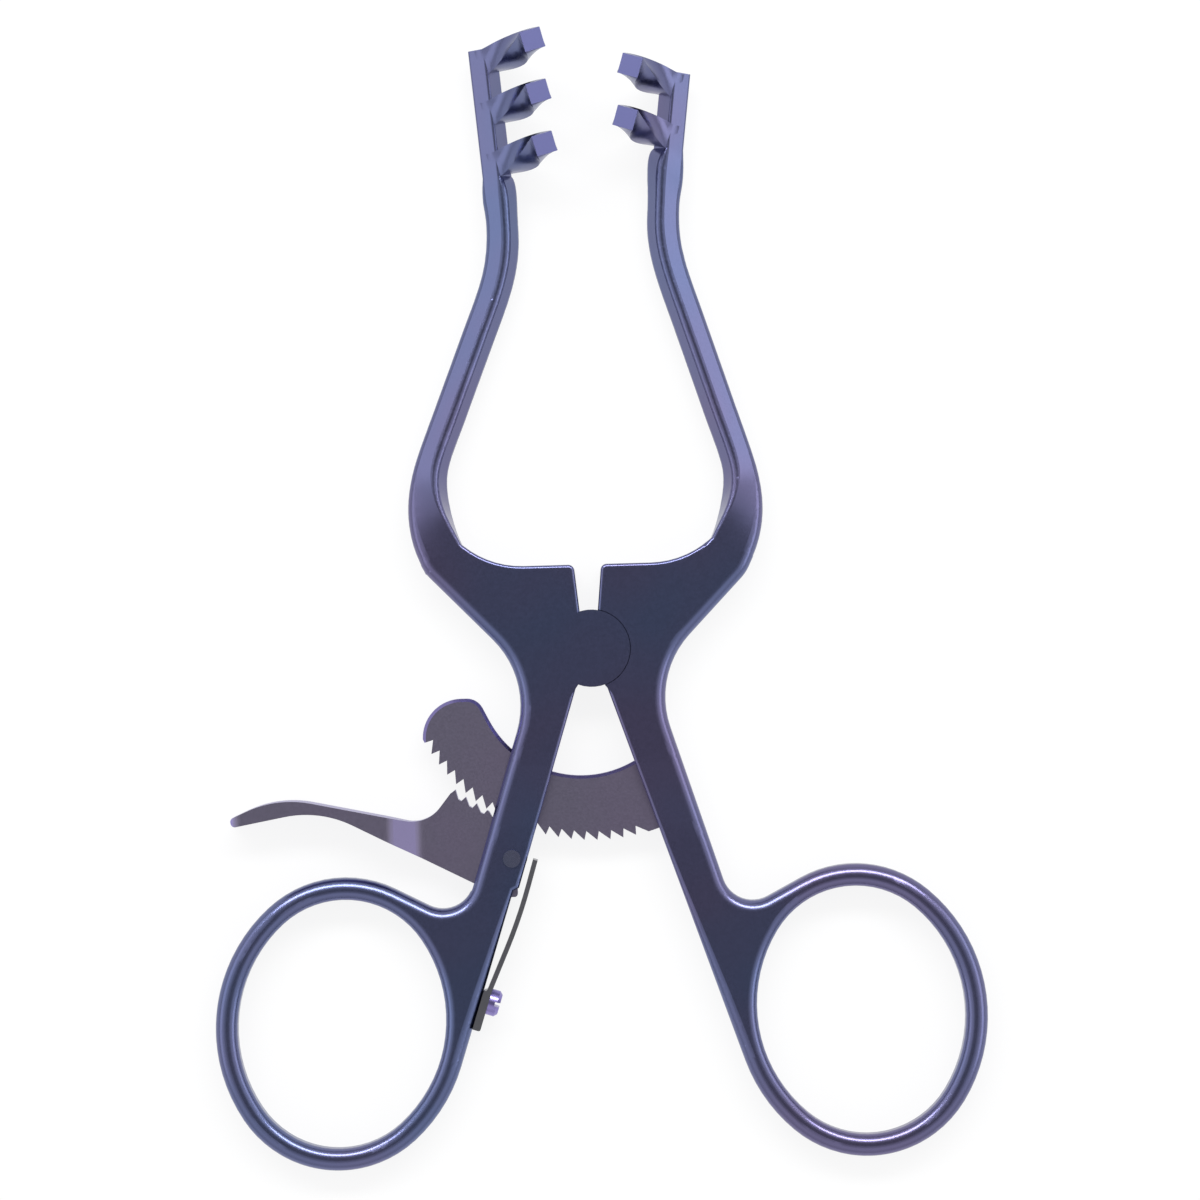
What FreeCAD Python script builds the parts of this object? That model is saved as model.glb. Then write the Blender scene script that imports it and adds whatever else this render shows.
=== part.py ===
import FreeCAD, Part
import math
import os

import Sketcher
from FreeCAD import Placement, Rotation, Vector

# Self retaining retractor, two branches on a lap hinge, modelled in millimetres.
# Origin: the hinge axis on the back plane. +Y runs to the tips, +X to the right, +Z to the front.
# The left branch lies at negative X. Both branches are described by how far a point is from the
# middle line, so the same numbers serve the two sides.

# Lap box and hinge
BRANCH_THICKNESS = 4.6  # thickness of a branch at the hinge
LAP_RADIUS = 4.37  # radius of each lap disc
LAP_CLEARANCE = 0.08  # gap round a lap disc
LAP_GAP = 0.06  # gap between the two laps
RIVET_RADIUS = 1.6  # shank of the hinge rivet
RIVET_HEAD_RADIUS = 2.5  # countersunk head of the hinge rivet
RIVET_HEAD_DEPTH = 0.9  # depth of the countersunk head
RIVET_COVER = 0.9  # metal left in front of the blind rivet hole
RUNNING_CLEARANCE = 0.04  # clearance of a turning pin in its hole
NOTCH_BOTTOM_LEFT = 1.2  # half gap above the discs, left branch
NOTCH_BOTTOM_RIGHT = 0.8  # half gap above the discs, right branch
NOTCH_OPENING = 0.55  # how much wider each half gap is at the top of the box
BOX_TOP = 9.5  # height of the box's top edge above the hinge
WINDOW_LEFT = 1.9  # half gap below the hinge, left branch
WINDOW_RIGHT = 1.67  # half gap below the hinge, right branch
WINDOW_TOP = 4.5  # depth of the window's top below the hinge

# Shank and finger ring
SHOULDER_X = 16.9  # point on the straight edge under the shoulder, outward
SHOULDER_Y = 7.2  # the same point, above the hinge
SHOULDER_SLOPE = 46.0  # slope of that straight edge in degrees
SHOULDER_CORNER_RADIUS = 5.0  # rounding where that edge runs into the arm
WAIST_RADIUS = 10.5  # hollow beside the hinge
SHANK_X = 9.3  # point on the outer edge of the shank, outward
SHANK_Y = -11.05  # the same point, above the hinge
SHANK_SLOPE = 72.4  # slope of the shank's outer edge in degrees
CROTCH_X = 15.5  # corner between shank and ring, outward
CROTCH_Y = -30.6  # the same corner, above the hinge
CROTCH_RADIUS = 3.5  # rounding between shank and ring
RING_X = 29.46  # middle of the finger ring, outward
RING_Y = -41.84  # middle of the finger ring, above the hinge
RING_TILT = 8.1  # lean of the ring's long axis toward the shank in degrees
RING_LONG_HALF = 14.12  # half of the finger hole's length
RING_SHORT_HALF = 11.78  # half of the finger hole's width
RING_END_RADIUS = 10.4  # radius of the finger hole's two ends
RING_BAR = 2.5  # width of the ring's bar
RING_THICKNESS = 3.6  # thickness of the ring
TAPER_START = -12.0  # height at which the shank starts to get thinner
TAPER_END = -21.0  # height at which it is as thin as the ring
TAPER_BEND = 40.0  # bends at both ends of that taper
BEVEL = 1.25  # rounding of the outer edges
RING_BEVEL = 1.1  # rounding of the finger hole's edges
INNER_BEVEL = 0.35  # rounding of the edges that face the other branch
INNER_SOFT_END = -46.5  # height at which those edges are as round as the outer ones
BOX_CORNER_RADIUS = 0.7  # corner of the box beside the notch

# Arm
ARM_ROOT_LEFT = 16.7  # middle of the left arm where it leaves the box, outward
ARM_ROOT_RIGHT = 16.25  # middle of the right arm there
ARM_ROOT_Y = 11.0  # both points, above the hinge
ARM_ROOT_HEADING = 65.0  # direction of the arm there in degrees
INNER_CORNER = 25.0  # turn between the arm and the box's inner corner in degrees
INNER_CORNER_SHARE = 0.95  # share of that corner's side that is rounded
ARM_ROOT_WIDTH = 5.2  # width of the arm there
ARM_BURY = 1.2  # length of the arm's bar inside the box
ARM_INSET = 0.03  # how far the arm's bar lies inside the faces of the box
SHOULDER_RADIUS = 14.6  # bend of the arm's middle line at the shoulder
ARM_LEAN_LEFT = 21.6  # lean of the left arm toward the middle in degrees
ARM_LEAN_RIGHT = 17.8  # lean of the right arm toward the middle in degrees
ARM_STRAIGHT_LEFT = 18.5  # straight run of the left arm
ARM_STRAIGHT_RIGHT = 21.1  # straight run of the right arm
UPPER_BEND_RADIUS = 21.0  # bend below the blade
ARM_BAR = 3.18  # width and thickness of the slim part of the arm
ARM_BAR_RADIUS = 0.8  # rounded corners of the slim part
ARM_TURN = 30.0  # turn of the slim part about its own axis in degrees

# Blades and prongs
BLADE_HEADING_LEFT = 85.0  # direction of the left blade in degrees
BLADE_HEADING_RIGHT = 83.0  # direction of the right blade in degrees
BLADE_TURN_LEFT = 30.0  # turn of the left blade about its own axis in degrees
BLADE_TURN_RIGHT = 34.0  # turn of the right blade about its own axis in degrees
BLADE_WIDTH = 2.4  # width of the blade's face
BLADE_THICKNESS = 2.9  # depth of the blade behind its face
BLADE_RADIUS = 0.35  # rounded corners of the blade
TOP_PRONG_LEFT = 66.7  # height of the left blade's top prong above the hinge
TOP_PRONG_RIGHT = 63.5  # height of the right blade's top prong above the hinge
PRONG_PITCH = 5.85  # distance between prongs
PRONG_ROOT = 2.8  # side of the prong's section at the blade
PRONG_TIP = 2.3  # side of the prong's section at the end
PRONG_LEAD = 1.3  # straight start of the prong from the blade's middle line
PRONG_BEND_RADIUS = 9.5  # bend of the prong
PRONG_END_HEADING = 88.0  # direction of the prong's end above the plane in degrees
PRONG_TWIST = 90.0  # twist of the prong about its own axis in degrees
PRONG_RAKE = 9.5  # lean of the prongs toward the blade's end in degrees

# Ratchet bar and its seat
SLOT_THICKNESS = 2.0  # thickness of the slots in both shanks
SLOT_ROOM = 0.3  # room above the ratchet bar in the left slot
SLOT_END = 30.3  # distance of the left slot's end from the hinge, along the shank
BAR_THICKNESS = 1.8  # thickness of ratchet bar and pawl
BAR_INNER_RADIUS = 11.8  # bend of the bar's inner edge between its two straight ends
BAR_RIGHT_X = 4.52  # point on the straight inner edge at the right end, right of the hinge
BAR_RIGHT_Y = -12.89  # the same point, above the hinge
BAR_RIGHT_HEADING = 29.4  # direction of that edge in degrees
BAR_LEFT_X = 12.54  # point on the straight inner edge at the left end, left of the hinge
BAR_LEFT_Y = -6.48  # the same point, above the hinge
BAR_LEFT_HEADING = 116.6  # direction of that edge in degrees
BAR_TIP_RADIUS = 21.75  # tips of the ratchet teeth, from the hinge
BAR_CAP_X = 19.4  # outer side of the bar's free end, left of the hinge
BAR_CAP_Y = -5.35  # top of that end, above the hinge
BAR_CAP_INNER_RADIUS = 2.0  # inner corner of that end
BAR_CAP_OUTER_RADIUS = 4.4  # outer corner of that end
BAR_BEVEL = 0.35  # bevel along the inner side and round the free end
TOOTH_DEPTH = 1.0  # depth of the ratchet teeth
TOOTH_PITCH = 3.886  # angle from tooth to tooth in degrees
TOOTH_DRAFT = 0.5  # lean of the steep flanks, as an angle round the hinge in degrees
GAP_COUNT = 20  # gaps between the teeth of the ratchet bar
FIRST_TOOTH = 15.74  # first tip at the right end, right of straight down in degrees
BAR_SEAT_ANGLE = 29.0  # end of the bar inside the right shank, right of straight down in degrees
BAR_PIN_RADIUS = 0.8  # pin that holds the bar
BAR_PIN_ANGLE = 25.0  # place of that pin, right of straight down in degrees
BAR_PIN_DISTANCE = 18.6  # distance of that pin from the hinge
BAR_PIN_HOLD = 0.4  # length of that pin in the front cheek
BAR_PIN_RECESS = 0.15  # distance of that pin's end from the back plane
SEAT_CLEARANCE = 0.1  # room round the bar's end in its seat

# Pawl, leaf spring and screw
PAWL_PIN_X = 9.67  # pin of the pawl, left of the hinge
PAWL_PIN_Y = -23.55  # the same pin, above the hinge
PAWL_PIN_RADIUS = 1.0  # radius of the pawl's pin
PAWL_PIN_RECESS = 0.22  # distance of that pin's ends from front and back plane
MESH_TURN = 6.5  # turn of the pawl from its rest to full mesh in degrees
MESH_CLEARANCE = 0.08  # gap between meshed teeth
MESH_PLAY = 0.4  # gap in front of the steep flanks, which lets the pawl swing out
REST_CLEARANCE = 0.12  # gap between the pawl at rest and the tips of the bar's teeth
HEEL_X = 9.12  # heel of the pawl against the leaf spring, left of the hinge
HEEL_Y = -27.95  # the same heel, above the hinge
HEEL_WIDTH = 0.95  # width of the heel's square end
HEEL_FACE = 1.6  # height of the heel's flat toward the leaf spring
HEEL_RADIUS = 0.35  # corners of the heel
PAWL_PIN_WALL = 0.85  # metal between the pawl's bore and its inner edge
PAWL_NECK_LENGTH = 3.4  # length of the pawl's inner edge above its pin
PAWL_SHOULDER_X = 16.28  # corner of the pawl beyond its teeth, left of the hinge
PAWL_SHOULDER_Y = -15.83  # the same corner, above the hinge
PAWL_END_HEADING = 34.0  # direction of the pawl's end beyond that corner in degrees
PAWL_SHOULDER_RADIUS = 2.0  # rounding of that corner
LEVER_NECK_X = 19.2  # hollow between pawl and thumb lever, left of the hinge
LEVER_NECK_Y = -19.5  # the same hollow, above the hinge
LEVER_NECK_RADIUS = 3.8  # rounding of that hollow
LEVER_CREST_X = 36.0  # crest of the thumb lever, left of the hinge
LEVER_CREST_Y = -15.85  # the same crest, above the hinge
LEVER_BOW_RADIUS = 12.0  # bow of the thumb lever
LEVER_END_X = 41.4  # end of the thumb lever, left of the hinge
LEVER_END_Y = -18.7  # the same end, above the hinge
LEVER_END_THICKNESS = 1.0  # thickness of the thumb lever at its end
LEVER_UNDER_X = 31.2  # underside of the lever's bow, left of the hinge
LEVER_UNDER_Y = -17.4  # the same place, above the hinge
PAWL_FOOT_X = 14.0  # underside of the pawl where it enters the shank, left of the hinge
PAWL_FOOT_Y = -26.3  # the same place, above the hinge
LEVER_FLARE_START = 20.0  # distance left of the hinge at which the lever starts to widen
LEVER_FLARE_END = 23.5  # distance left of the hinge at which it is full width
LEVER_FLARE_RADIUS = 3.0  # bends of that widening
LEVER_END_RADIUS = 2.2  # corners of the lever's end, seen from its edge
PAWL_TOOTH_DEPTH = 0.9  # depth of the pawl's teeth
LEVER_WIDTH = 4.6  # width of the thumb lever, front to back
SPRING_WIDTH = 3.0  # width of the leaf spring, front to back
SPRING_FOOT_THICKNESS = 0.9  # thickness of the spring's foot
SPRING_FOOT_LENGTH = 4.6  # length of the spring's foot
SPRING_LEAF_THICKNESS = 0.55  # thickness of the leaf
SPRING_LEAF_LENGTH = 15.8  # length of the leaf
SPRING_KNEE = 9.0  # distance of the leaf's bow above the foot
SPRING_CORNER_RADIUS = 0.25  # corners of the foot
SPRING_FOOT_END = 16.35  # lower end of the foot below the step
SPRING_BOW = 1.55  # distance of the leaf's bow from the seat
SPRING_TIP_BOW = 1.4  # distance of the leaf's end from the seat
SPRING_BEND_RADIUS = 60.0  # bow of the leaf
SCREW_PLACE = 12.9  # middle of the screw below the step
STEP_LENGTH = 0.5  # length of the step above the spring's seat
STEP_END = 28.85  # distance of the step's lower end from the hinge, along the shank
STEP_OFFSET = 0.4  # inner edge at that step, outward of the shank's line through the hinge
SPRING_SEAT_DEPTH = 0.53  # depth of the spring's seat in the shank's inner edge
SCREW_HEAD_RADIUS = 1.5  # head of the spring's screw
SCREW_HEAD_HEIGHT = 1.3  # height of that head
SCREW_HEAD_BEVEL = 0.35  # bevelled rim of that head
SCREW_SLOT_WIDTH = 0.5  # driver slot of that screw
SCREW_SLOT_DEPTH = 0.6  # depth of that slot
SCREW_RADIUS = 0.8  # threaded shank of that screw
SCREW_DEPTH = 3.0  # depth of that screw in the shank

doc = FreeCAD.newDocument("self_retaining_retractor")
sheet = doc.addObject("Spreadsheet::Sheet", "Sizes")

# Every name in capitals above is a driving dimension. The sheet holds it under the same name in
# small letters, and the objects below are tied to the sheet.
driving = [name for name in list(globals()) if name.isupper()]
for row, name in enumerate(driving, start=1):
    sheet.set(f"A{row}", name)
    sheet.set(f"B{row}", str(globals()[name]))
    sheet.setAlias(f"B{row}", name.lower())
doc.recompute()

LEFT = -1
RIGHT = 1
UP = Vector(0, 0, 1)
TOUCHING = 0.02  # two shapes this near each other are taken as touching


def value(alias):
    """Read one driving dimension from the sheet."""
    return float(sheet.get(alias))


middle = value("branch_thickness") / 2


# Plane geometry


def direction(degrees):
    """Unit vector in the plane at an angle from +X."""
    return Vector(math.cos(math.radians(degrees)), math.sin(math.radians(degrees)), 0)


def left_of(unit):
    """The unit vector a quarter turn to the left."""
    return Vector(-unit.y, unit.x, 0)


def on_side(side, point):
    """Carry a point of the right branch over to the given side."""
    return Vector(side * point.x, point.y, point.z)


def crossing(point_a, unit_a, point_b, unit_b):
    """Point where two lines meet."""
    span = point_b - point_a
    travel = (span.x * unit_b.y - span.y * unit_b.x) / (unit_a.x * unit_b.y - unit_a.y * unit_b.x)
    return point_a + unit_a * travel


def rounded_run(corners):
    """Lines through a list of (point, radius), with an arc of that radius at each inner corner."""
    edges = []
    start = corners[0][0]
    for before, (corner, radius), after in zip(corners, corners[1:], corners[2:]):
        to_before = (before[0] - corner).normalize()
        to_after = (after[0] - corner).normalize()
        half = to_before.getAngle(to_after) / 2
        if radius == 0:
            edges.append(Part.LineSegment(start, corner))
            start = corner
            continue
        reach = radius / math.tan(half)
        middle_way = (to_before + to_after).normalize()
        centre = corner + middle_way * (radius / math.sin(half))
        arc_start = corner + to_before * reach
        arc_end = corner + to_after * reach
        edges.append(Part.LineSegment(start, arc_start))
        edges.append(Part.Arc(arc_start, centre - middle_way * radius, arc_end))
        start = arc_end
    edges.append(Part.LineSegment(start, corners[-1][0]))
    return edges


def closed_outline(corners):
    """A closed outline through a list of (point, radius); it starts halfway along the first side."""
    first = (corners[0][0] + corners[-1][0]) * 0.5
    return rounded_run([(first, 0)] + corners + [(first, 0)])


# Objects of the document


def bind(thing, **expressions):
    """Tie properties of an object to cells of the sheet."""
    for name, expression in expressions.items():
        thing.setExpression(name, expression)


def flat_sketch(name, edges, placement=Placement()):
    """A sketch that holds the given edges."""
    sketch = doc.addObject("Sketcher::SketchObject", name)
    sketch.Placement = placement
    sketch.addGeometry(edges, False)
    return sketch


def extruded(name, edges, bottom, length, placement=Placement()):
    """Prism over an outline, from the height `bottom` over `length`, both written as expressions."""
    sketch = flat_sketch(name + "_outline", edges, placement)
    prism = doc.addObject("Part::Extrusion", name)
    prism.Base = sketch
    prism.DirMode = "Normal"
    prism.Solid = True
    bind(prism, LengthFwd=f"{bottom} + {length}", LengthRev=f"-({bottom})")
    return prism


def cylinder(name, radius, bottom, length, at=Vector()):
    """Upright cylinder; its radius, foot height and length are expressions."""
    rod = doc.addObject("Part::Cylinder", name)
    rod.Placement = Placement(at, Rotation())
    bind(rod, Radius=radius, Height=length)
    rod.setExpression(".Placement.Base.z", bottom)
    return rod


def fused(name, pieces):
    """One solid from several."""
    union = doc.addObject("Part::MultiFuse", name)
    union.Shapes = pieces
    return union


def cut(name, base, tools):
    """The base without its tools."""
    tool = tools[0]
    if len(tools) > 1:
        tool = fused(name + "_tools", tools)
    difference = doc.addObject("Part::Cut", name)
    difference.Base = base
    difference.Tool = tool
    return difference


def axes_placement(at, x_axis, y_axis):
    """Placement with given X and Y axes."""
    return Placement(at, Rotation(x_axis, y_axis, x_axis.cross(y_axis), "XYZ"))


def bar_section(name, placement, width, depth, outer_radius, inner_radius):
    """Rounded rectangle with its outer side at +X; the four sizes are expressions."""
    sketch = doc.addObject("Sketcher::SketchObject", name)
    sketch.Placement = placement
    w, d, ro, ri = [float(sketch.evalExpression(text)) for text in (width, depth, outer_radius, inner_radius)]
    right, left, front, back = w / 2, -w / 2, d / 2, -d / 2

    def line(x0, y0, x1, y1):
        return Part.LineSegment(Vector(x0, y0, 0), Vector(x1, y1, 0))

    def arc(x, y, radius, start):
        circle = Part.Circle(Vector(x, y, 0), UP, radius)
        return Part.ArcOfCircle(circle, math.radians(start), math.radians(start + 90))

    sketch.addGeometry([
        line(left + ri, back, right - ro, back),
        arc(right - ro, back + ro, ro, 270),
        line(right, back + ro, right, front - ro),
        arc(right - ro, front - ro, ro, 0),
        line(right - ro, front, left + ri, front),
        arc(left + ri, front - ri, ri, 90),
        line(left, front - ri, left, back + ri),
        arc(left + ri, back + ri, ri, 180),
    ], False)
    for index in range(8):
        sketch.addConstraint(Sketcher.Constraint("Tangent", index, 2, (index + 1) % 8, 1))
    sketch.addConstraint(Sketcher.Constraint("Horizontal", 0))
    sketch.addConstraint(Sketcher.Constraint("Horizontal", 4))
    sketch.addConstraint(Sketcher.Constraint("Vertical", 2))
    sketch.addConstraint(Sketcher.Constraint("Vertical", 6))
    driven = [
        (Sketcher.Constraint("Radius", 1, ro), outer_radius),
        (Sketcher.Constraint("Radius", 3, ro), outer_radius),
        (Sketcher.Constraint("Radius", 5, ri), inner_radius),
        (Sketcher.Constraint("Radius", 7, ri), inner_radius),
        (Sketcher.Constraint("DistanceX", -1, 1, 2, 1, right), f"({width}) / 2"),
        (Sketcher.Constraint("DistanceX", 6, 1, -1, 1, right), f"({width}) / 2"),
        (Sketcher.Constraint("DistanceY", -1, 1, 4, 1, front), f"({depth}) / 2"),
        (Sketcher.Constraint("DistanceY", 0, 1, -1, 1, front), f"({depth}) / 2"),
    ]
    for constraint, expression in driven:
        number = sketch.addConstraint(constraint)
        sketch.setExpression(f"Constraints[{number}]", expression)
    return sketch


def square_section(name, placement, side_length):
    """Square round the origin of its placement; its side is an expression."""
    sketch = doc.addObject("Sketcher::SketchObject", name)
    sketch.Placement = placement
    half = float(sketch.evalExpression(side_length)) / 2
    corners = [Vector(-half, -half, 0), Vector(half, -half, 0), Vector(half, half, 0), Vector(-half, half, 0)]
    for here, there in zip(corners, corners[1:] + corners[:1]):
        sketch.addGeometry(Part.LineSegment(here, there), False)
    for index in range(4):
        sketch.addConstraint(Sketcher.Constraint("Coincident", index, 2, (index + 1) % 4, 1))
    for index, kind in enumerate(("Horizontal", "Vertical", "Horizontal", "Vertical")):
        sketch.addConstraint(Sketcher.Constraint(kind, index))
    driven = [
        Sketcher.Constraint("DistanceX", -1, 1, 1, 1, half),
        Sketcher.Constraint("DistanceX", 0, 1, -1, 1, half),
        Sketcher.Constraint("DistanceY", -1, 1, 2, 1, half),
        Sketcher.Constraint("DistanceY", 0, 1, -1, 1, half),
    ]
    for constraint in driven:
        number = sketch.addConstraint(constraint)
        sketch.setExpression(f"Constraints[{number}]", f"({side_length}) / 2")
    return sketch


def lofted(name, sections):
    """Smooth solid through a row of sections."""
    loft = doc.addObject("Part::Loft", name)
    loft.Sections = sections
    loft.Solid = True
    return loft


def mix(first, second, share):
    """Expression that goes from one cell to another as the share goes from 0 to 1."""
    return f"{1 - share:.4f} * Sizes.{first} + {share:.4f} * Sizes.{second}"


def eased(share):
    """Smooth start and end for a change along a bar."""
    return share * share * (3 - 2 * share)


# Plate of a branch: box, shank and finger ring in one plan outline


def ring_arcs(grow):
    """The finger hole's oval on the right side, grown by a distance: (centre, radius, heading, half span)."""
    long_half = value("ring_long_half")
    short_half = value("ring_short_half")
    end = value("ring_end_radius")
    flank = (long_half ** 2 - 2 * long_half * end + short_half ** 2) / (2 * (short_half - end))
    span = math.degrees(math.atan2(flank - short_half, long_half - end))
    centre = Vector(value("ring_x"), value("ring_y"), 0)
    arcs = []
    for half_turn in (0, 180):
        heading = 90 + value("ring_tilt") + half_turn
        arcs.append((centre + direction(heading) * (long_half - end), end + grow, heading, span))
        across = heading + 90
        arcs.append((centre - direction(across) * (flank - short_half), flank + grow, across, 90 - span))
    return arcs


def off_heading(angle, heading):
    """Angle from a heading, between -180 and 180 degrees."""
    return (angle - heading + 180) % 360 - 180


def ring_point(heading, grow):
    """Point of the grown oval whose outward direction has this heading."""
    centre, radius, _, _ = min(ring_arcs(grow), key=lambda arc: abs(off_heading(heading, arc[2])) - arc[3])
    return centre + direction(heading) * radius


def ring_touches(point, grow):
    """Headings at which lines from an outside point touch the grown oval."""
    headings = []
    for centre, radius, heading, span in ring_arcs(grow):
        away = point - centre
        if away.Length <= radius:
            continue
        bearing = math.degrees(math.atan2(away.y, away.x))
        half = math.degrees(math.acos(radius / away.Length))
        for angle in (bearing - half, bearing + half):
            if abs(off_heading(angle, heading)) <= span:
                headings.append(angle % 360)
    return headings


def ring_run(side, start, end, grow):
    """Arcs of the grown oval between two headings, the second one larger."""
    joints = [heading + span + turn for _, _, heading, span in ring_arcs(grow) for turn in (-360, 0, 360)]
    stops = [start] + sorted(joint for joint in joints if start < joint < end) + [end]
    edges = []
    for first, last in zip(stops, stops[1:]):
        points = [ring_point(heading, grow) for heading in (first, (first + last) / 2, last)]
        edges.append(Part.Arc(*[on_side(side, point) for point in points]))
    return edges


def inner_touch(point):
    """Heading at which the inner edge of a right shank, coming from a point, touches the ring."""
    bar = value("ring_bar")
    return min(ring_touches(point, bar), key=lambda heading: ring_point(heading, bar).x)


def arm_root(side):
    """Distance of the arm's root from the middle line."""
    return value("arm_root_left") if side == LEFT else value("arm_root_right")


def plate_edges(side):
    """Plan of a branch: up its outside and down its inside, then the ring, then the finger hole."""
    def at(x, y):
        return on_side(side, Vector(x, y, 0))

    bar = value("ring_bar")
    crotch = Vector(value("crotch_x"), value("crotch_y"), 0)
    ring_top = max(ring_touches(crotch, bar), key=lambda heading: ring_point(heading, bar).y)

    shoulder_line = on_side(side, direction(value("shoulder_slope")))
    shoulder_point = at(value("shoulder_x"), value("shoulder_y"))
    shank_line = on_side(side, direction(-value("shank_slope")))
    shank_point = at(value("shank_x"), value("shank_y"))
    waist = crossing(shoulder_point, shoulder_line, shank_point, shank_line)

    arm_way = on_side(side, direction(value("arm_root_heading")))
    outward = on_side(side, direction(value("arm_root_heading") - 90))
    root = at(arm_root(side), value("arm_root_y"))
    half_root = value("arm_root_width") / 2
    root_outer = root + outward * half_root
    root_inner = root - outward * half_root
    shoulder = crossing(root_outer, arm_way, shoulder_point, shoulder_line)
    inner_rise = on_side(side, direction(value("arm_root_heading") - value("inner_corner")))
    box_edge = crossing(root_inner, inner_rise, at(0, value("box_top")), Vector(1, 0, 0))
    box_turn = (value("arm_root_heading") - value("inner_corner")) / 2
    box_reach = value("inner_corner_share") * (box_edge - root_inner).Length

    notch_half = value("notch_bottom_left") if side == LEFT else value("notch_bottom_right")
    window_half = value("window_left") if side == LEFT else value("window_right")
    inner_edge = [at(window_half, -value("window_top"))]
    if side == LEFT:
        inner_edge += spring_step()
    ring_inner = inner_touch(on_side(side, inner_edge[-1]))

    run = rounded_run([
        (on_side(side, ring_point(ring_top, bar)), 0),
        (on_side(side, crotch), value("crotch_radius")),
        (waist, value("waist_radius")),
        (shoulder, value("shoulder_corner_radius")),
        (root_outer, 0),
        (root_inner, 0),
        (box_edge, box_reach / math.tan(math.radians(box_turn))),
        (at(notch_half + value("notch_opening"), value("box_top")), value("box_corner_radius")),
        (at(notch_half, 0.9 * value("lap_radius")), 0),
        (at(notch_half, -0.8 * value("lap_radius")), 0),
    ] + [(point, 0) for point in inner_edge] + [(on_side(side, ring_point(ring_inner, bar)), 0)])
    ring = ring_run(side, ring_inner, ring_top + 360, bar)
    _, _, heading, span = ring_arcs(0)[0]
    hole = ring_run(side, heading + span, heading + span + 360, 0)
    return run, ring, hole


def shank_direction():
    """Direction down the left shank."""
    return on_side(LEFT, direction(-value("shank_slope")))


def spring_step():
    """The step of the left shank's inner edge, above the seat of the leaf spring."""
    down = shank_direction()
    outward = left_of(down) * -1
    top = down * (value("step_end") - value("step_length")) + outward * value("step_offset")
    bottom = down * value("step_end") + outward * (value("step_offset") + value("spring_seat_depth"))
    return [top, bottom]


def inner_radius(point):
    """Rounding of the inner side at a point: it grows toward the ring."""
    share = (point.y + value("window_top")) / (value("inner_soft_end") + value("window_top"))
    share = min(1, max(0, share)) ** 3
    return value("inner_bevel") + share * (value("bevel") - value("inner_bevel"))


def edge_radii(side):
    """The plan's edges as shapes, each with a function that gives its rounding at a point."""
    run, ring, hole = plate_edges(side)
    outer_side, arm_end, box_side, lap_side, inner_side = run[:7], run[7:8], run[8:12], run[12:15], run[15:]
    rules = [
        (outer_side + ring, lambda point: value("bevel")),
        (hole, lambda point: value("ring_bevel")),
        (box_side, lambda point: value("inner_bevel")),
        (inner_side, inner_radius),
        (arm_end + lap_side, lambda point: 0),
    ]
    return [(edge.toShape(), rule) for edges, rule in rules for edge in edges]


def rounded_plate(side, name):
    """The plate, thinner toward the ring, with its long edges rounded."""
    run, ring, hole = plate_edges(side)
    plate = extruded(name + "_plate", run + ring + hole, "0", "Sizes.branch_thickness")

    full = value("branch_thickness")
    drop = (full - value("ring_thickness")) / 2
    top = 2 * value("box_top")
    bottom = 2 * value("ring_y")
    start, end, bend = value("taper_start"), value("taper_end"), value("taper_bend")
    profile = [
        (top, 0, 0), (top, full, 0), (start, full, bend), (end, full - drop, bend), (bottom, full - drop, 0),
        (bottom, drop, 0), (end, drop, bend), (start, 0, bend),
    ]
    edges = closed_outline([(Vector(y, z, 0), radius) for y, z, radius in profile])
    sideways = axes_placement(Vector(), Vector(0, 1, 0), UP)
    envelope = extruded(name + "_envelope", edges, "-2 * Sizes.ring_x", "4 * Sizes.ring_x", sideways)
    tapered = doc.addObject("Part::MultiCommon", name + "_tapered")
    tapered.Shapes = [plate, envelope]
    doc.recompute()

    chosen = []
    plan = edge_radii(side)
    for number, edge in enumerate(tapered.Shape.Edges, start=1):
        first, last = edge.FirstParameter, edge.LastParameter
        if abs(edge.tangentAt(first).z) > 0.5:
            continue
        spot = edge.valueAt((first + last) / 2)
        foot = Part.Vertex(spot.x, spot.y, 0)
        gaps = [(shape.distToShape(foot)[0], rule) for shape, rule in plan]
        gap, rule = min(gaps, key=lambda pair: pair[0])
        ends = [edge.valueAt(first), edge.valueAt(last)]
        if edge.Orientation == "Reversed":
            ends.reverse()
        radii = [rule(end) for end in ends]
        if gap < TOUCHING and min(radii) > 0:
            chosen.append((number, *radii))
    rounding = doc.addObject("Part::Fillet", name + "_rounded")
    rounding.Base = tapered
    rounding.Edges = chosen
    return rounding


def lap(side, name):
    """The lap disc of a branch and the recess for the other branch's disc."""
    front = "Sizes.branch_thickness / 2 + Sizes.lap_gap / 2"
    back = "Sizes.branch_thickness / 2 - Sizes.lap_gap / 2"
    hollow = "Sizes.lap_radius + Sizes.lap_clearance"
    if side == LEFT:
        disc = cylinder(name + "_disc", "Sizes.lap_radius", front, f"Sizes.branch_thickness - ({front})")
        recess = cylinder(name + "_recess", hollow, "0", front)
    else:
        disc = cylinder(name + "_disc", "Sizes.lap_radius", "0", back)
        recess = cylinder(name + "_recess", hollow, back, f"Sizes.branch_thickness - ({back})")
    return disc, recess


# Arm, blade and prongs


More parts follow.
